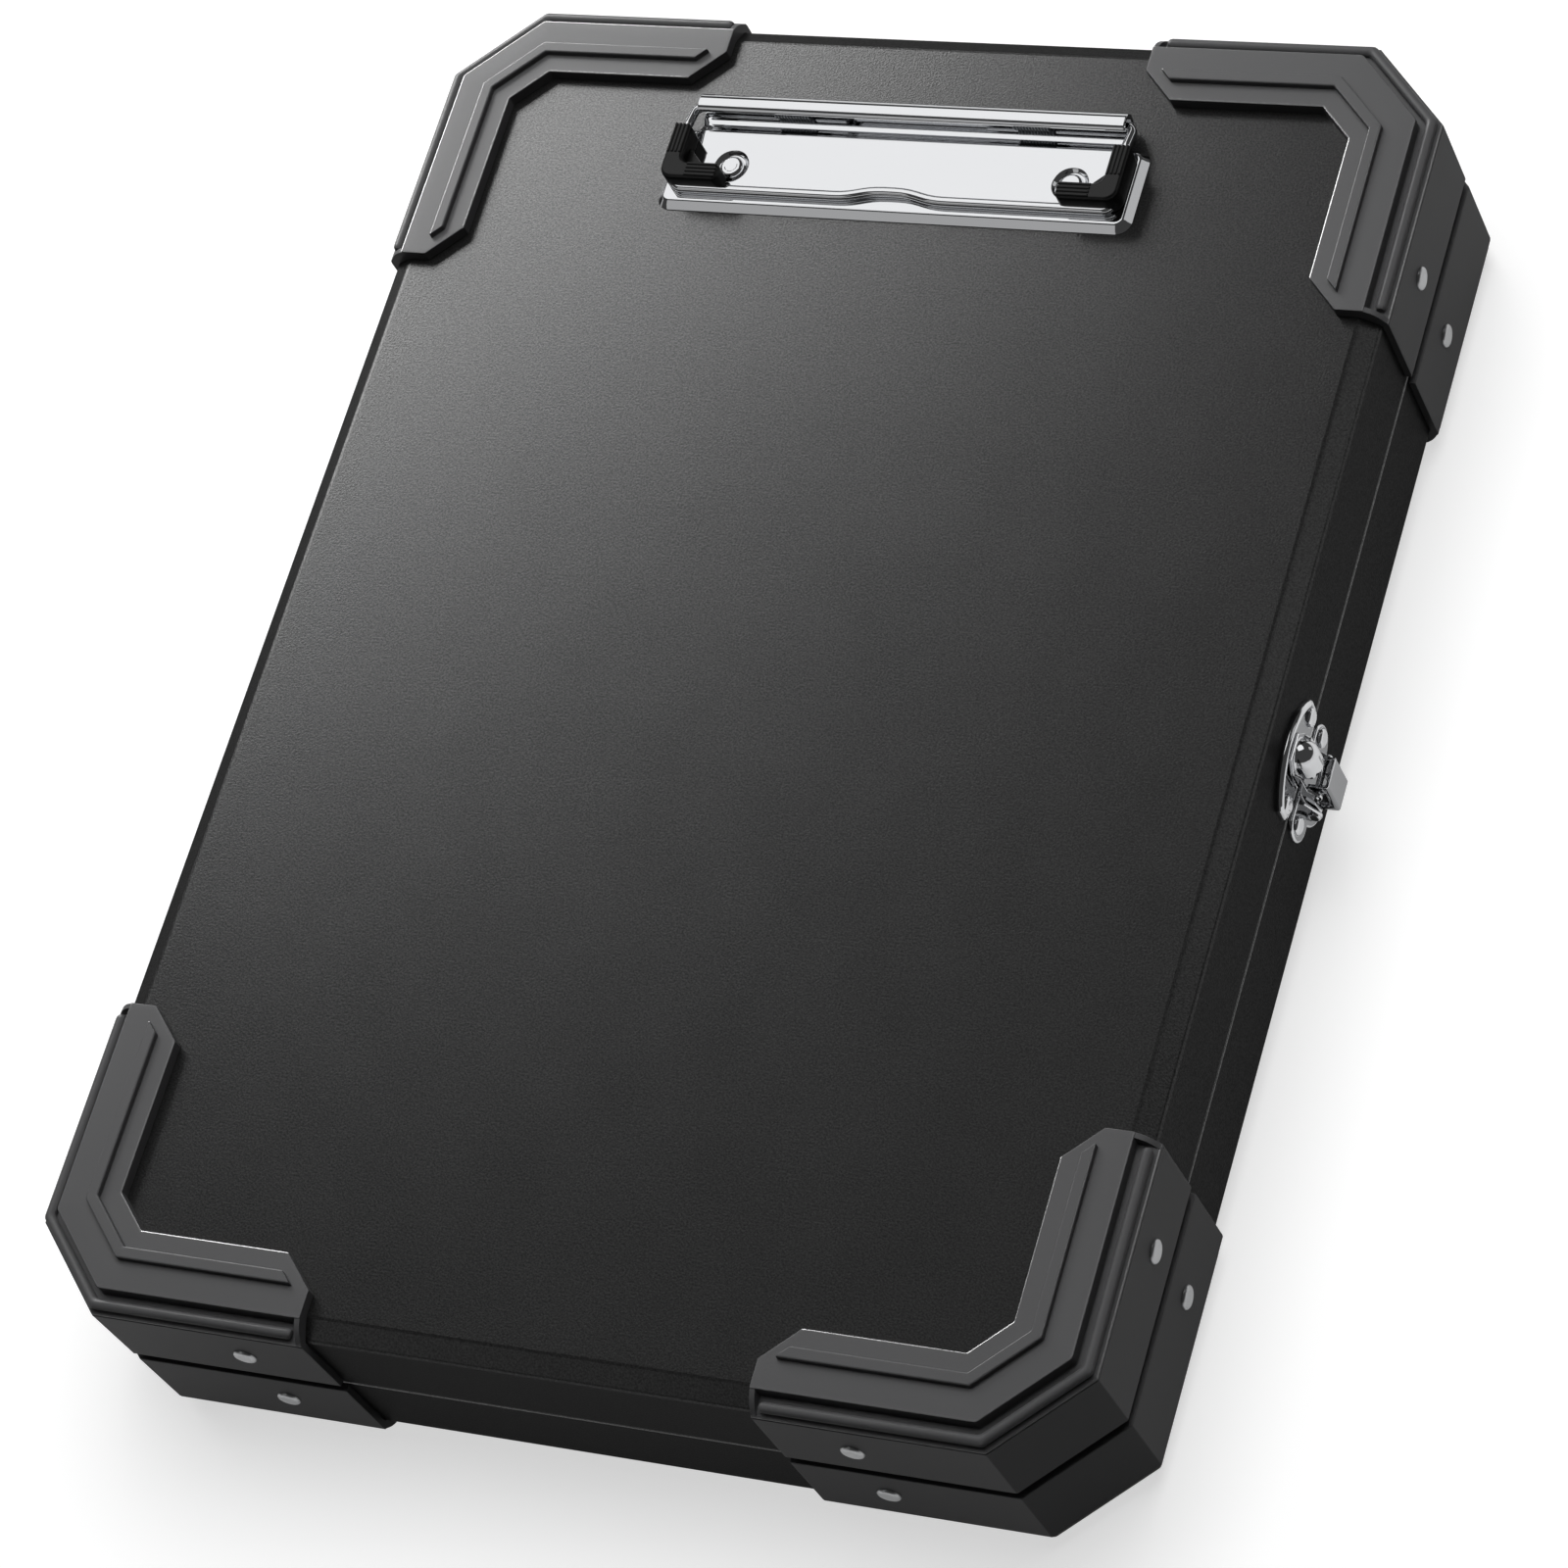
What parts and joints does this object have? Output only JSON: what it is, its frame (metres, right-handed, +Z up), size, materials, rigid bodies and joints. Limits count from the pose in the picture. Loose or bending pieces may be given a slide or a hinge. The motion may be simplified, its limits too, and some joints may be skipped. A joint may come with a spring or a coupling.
{
  "type": "storage clipboard box",
  "caption": "Shallow hinged form-holder case with a wire-bail paper clip on the lid, moulded corner guards, a piano hinge and a flip-lever hasp latch.",
  "frame": {"origin": "centre of the bounding box on the surface that the case lies on, under the ribs of its lower corner guards", "axes": "+X to the latch side, +Y to the paper clip's end, +Z up out of the lid's writing panel"},
  "size_m": [0.2633, 0.3496, 0.0637],
  "materials": {
    "case": "satin",
    "guard": "satin",
    "rivet": "satin",
    "hinge": "satin",
    "pin_steel": "satin",
    "bright_plate": "polished",
    "grip": "matte"
  },
  "bodies": {
    "base": {"base_tray": "case", "base_guard_front_left": "guard", "base_guard_front_right": "guard", "base_guard_rear_left": "guard", "base_guard_rear_right": "guard", "base_guard_rivets": "rivet", "hinge_base_leaf": "hinge", "hinge_pin": "hinge", "hinge_base_rivets": "rivet", "latch_base": "bright_plate", "latch_base_rivets": "rivet", "latch_hasp_pivots": "pin_steel"},
    "lid": {"lid_shell": "case", "lid_guard_front_left": "guard", "lid_guard_front_right": "guard", "lid_guard_rear_left": "guard", "lid_guard_rear_right": "guard", "lid_guard_rivets": "rivet", "hinge_lid_leaf": "hinge", "hinge_lid_rivets": "rivet", "clip_plate": "bright_plate", "clip_rivets": "rivet", "clip_springs": "pin_steel", "latch_keeper": "bright_plate", "latch_keeper_rivets": "rivet"},
    "clip_bail": {"clip_wire": "bright_plate", "clip_grip_left": "grip", "clip_grip_right": "grip"},
    "latch_hasp_body": {"latch_hasp": "bright_plate", "latch_lever_pin": "pin_steel"},
    "latch_lever_body": {"latch_lever": "bright_plate"}
  },
  "joints": [
    {"name": "lid_hinge", "type": "hinge", "parent": "base", "child": "lid", "pos_m": [-0.12935, 0, 0.03], "axis": [0, -1, 0], "range_deg": [0, 160]},
    {"name": "clip_bail_hinge", "type": "hinge", "parent": "lid", "child": "clip_bail", "pos_m": [-0.00135, 0.1457, 0.0595], "axis": [-1, 0, 0], "range_deg": [0, 100], "stiffness_Nm_per_rad": 0.15, "springref_deg": -17.19},
    {"name": "latch_hasp_hinge", "type": "hinge", "parent": "base", "child": "latch_hasp_body", "pos_m": [0.12655, 0, 0.0214], "axis": [0, 1, 0], "range_deg": [0, 90]},
    {"name": "latch_lever_hinge", "type": "hinge", "parent": "latch_hasp_body", "child": "latch_lever_body", "pos_m": [0.12835, 0, 0.0282], "axis": [0, -1, 0], "range_deg": [0, 45]}
  ]
}
